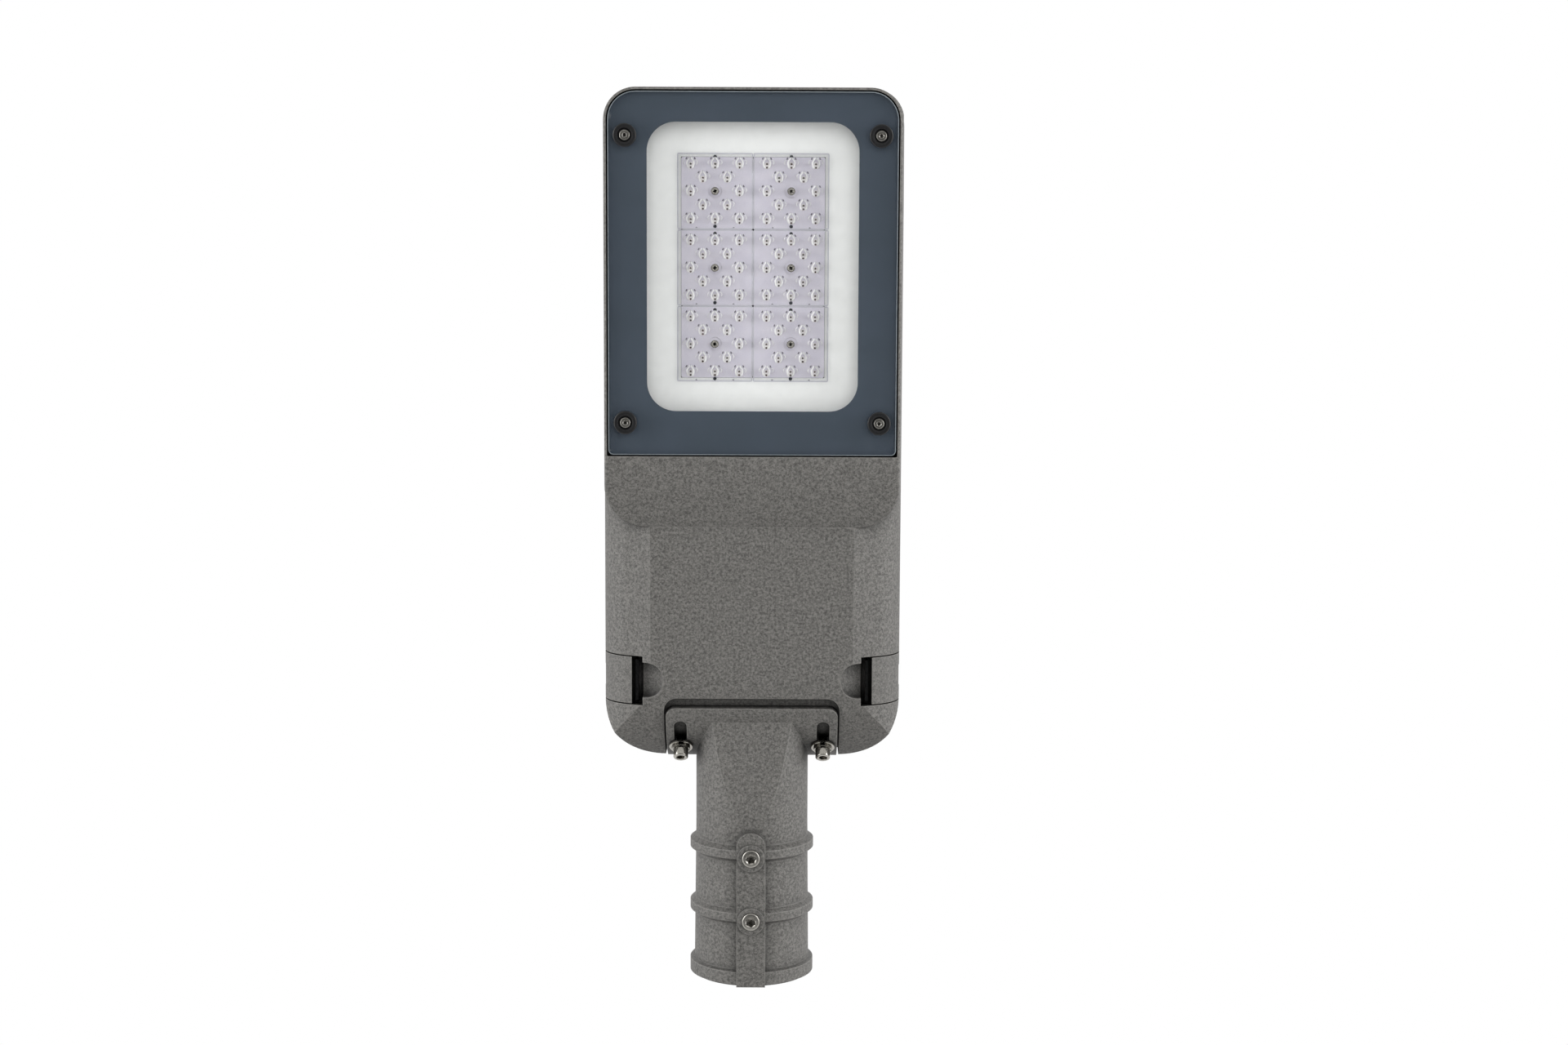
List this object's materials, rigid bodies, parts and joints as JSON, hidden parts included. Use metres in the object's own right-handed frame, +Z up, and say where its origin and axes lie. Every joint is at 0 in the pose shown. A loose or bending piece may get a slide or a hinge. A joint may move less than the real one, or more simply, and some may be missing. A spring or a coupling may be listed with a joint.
{
  "type": "led street light head",
  "caption": "Flat die-cast street light head with lens modules under glass, hinged top cover, side latches and a tilting pole spigot.",
  "frame": {"origin": "centre of the spigot's mouth, where the pole enters", "axes": "+Y out of the spigot along the pole, +Z up, the head lies towards -Y and its glass looks down to -Z"},
  "size_m": [0.2004, 0.6006, 0.0912],
  "materials": {
    "powder_coat": "fine textured powder coat, warm mid grey",
    "latch_coat": "fine textured powder coat",
    "cover_glass": "toughened, printed dark border",
    "seal_rubber": "silicone",
    "lead_sheath": "smooth sheath",
    "clip_plastic": "black, matt",
    "white_sheet": "white, satin",
    "board": "white solder mask",
    "led_phosphor": "phosphor yellow",
    "lens_plastic": "clear acrylic",
    "stainless_steel": "polished",
    "driver_case": "plain drawn case",
    "surge_case": "moulded",
    "terminal_plastic": "moulded"
  },
  "bodies": {
    "spigot": {"spigot_bracket": "powder_coat", "pole_screws": "stainless_steel"},
    "head": {"housing": "powder_coat", "cover_seal": "seal_rubber", "hinge_pins": "stainless_steel", "glass_cover": "cover_glass", "glass_gasket": "seal_rubber", "glass_clips": "clip_plastic", "glass_screws": "stainless_steel", "reflector_plate": "white_sheet", "leds": "led_phosphor", "led_board_1": "board", "led_board_2": "board", "led_board_3": "board", "led_board_4": "board", "led_board_5": "board", "led_board_6": "board", "lens_module_1": "lens_plastic", "lens_module_2": "lens_plastic", "lens_module_3": "lens_plastic", "lens_module_4": "lens_plastic", "lens_module_5": "lens_plastic", "lens_module_6": "lens_plastic", "lens_screws": "stainless_steel", "driver": "driver_case", "driver_screws": "stainless_steel", "surge_protector": "surge_case", "terminal_block": "terminal_plastic", "cable_clamp": "clip_plastic", "clamp_screws": "stainless_steel", "earth_screw": "stainless_steel", "cable_grommet": "seal_rubber", "lead_gland": "clip_plastic", "led_lead": "lead_sheath", "tilt_bolts": "stainless_steel", "tilt_washers": "stainless_steel", "tilt_spring_washers": "stainless_steel", "latch_pins": "stainless_steel", "latch_clips": "stainless_steel"},
    "cover": {"top_cover": "powder_coat", "keepers": "stainless_steel"},
    "left_latch": {"latch_left": "latch_coat", "bail_pin_left": "stainless_steel"},
    "right_latch": {"latch_right": "latch_coat", "bail_pin_right": "stainless_steel"},
    "left_bail": {"bail_left": "stainless_steel"},
    "right_bail": {"bail_right": "stainless_steel"}
  },
  "joints": [
    {"name": "tilt", "type": "hinge", "parent": "spigot", "child": "head", "pos_m": [0, -0.2053, 0.0244], "axis": [-1, 0, 0], "range_deg": [-5, 20]},
    {"name": "cover_hinge", "type": "hinge", "parent": "head", "child": "cover", "pos_m": [0, -0.3735, 0.018], "axis": [1, 0, 0], "range_deg": [0, 75], "deforming": ["bail_left", "bail_right"]},
    {"name": "left_latch_pivot", "type": "hinge", "parent": "head", "child": "left_latch", "pos_m": [-0.095, -0.2079, 0.0015], "axis": [0, 1, 0], "range_deg": [0, 90]},
    {"name": "right_latch_pivot", "type": "hinge", "parent": "head", "child": "right_latch", "pos_m": [0.095, -0.2079, 0.0015], "axis": [0, -1, 0], "range_deg": [0, 90]},
    {"name": "left_bail_pivot", "type": "hinge", "parent": "left_latch", "child": "left_bail", "pos_m": [-0.0915, -0.2079, -0.005], "axis": [0, 1, 0], "range_deg": [-90, 0]},
    {"name": "right_bail_pivot", "type": "hinge", "parent": "right_latch", "child": "right_bail", "pos_m": [0.0915, -0.2079, -0.005], "axis": [0, -1, 0], "range_deg": [-90, 0]}
  ],
  "couplings": [
    {"joint": "left_bail_pivot", "follows": "left_latch_pivot", "ratio": -1},
    {"joint": "right_bail_pivot", "follows": "right_latch_pivot", "ratio": -1}
  ]
}
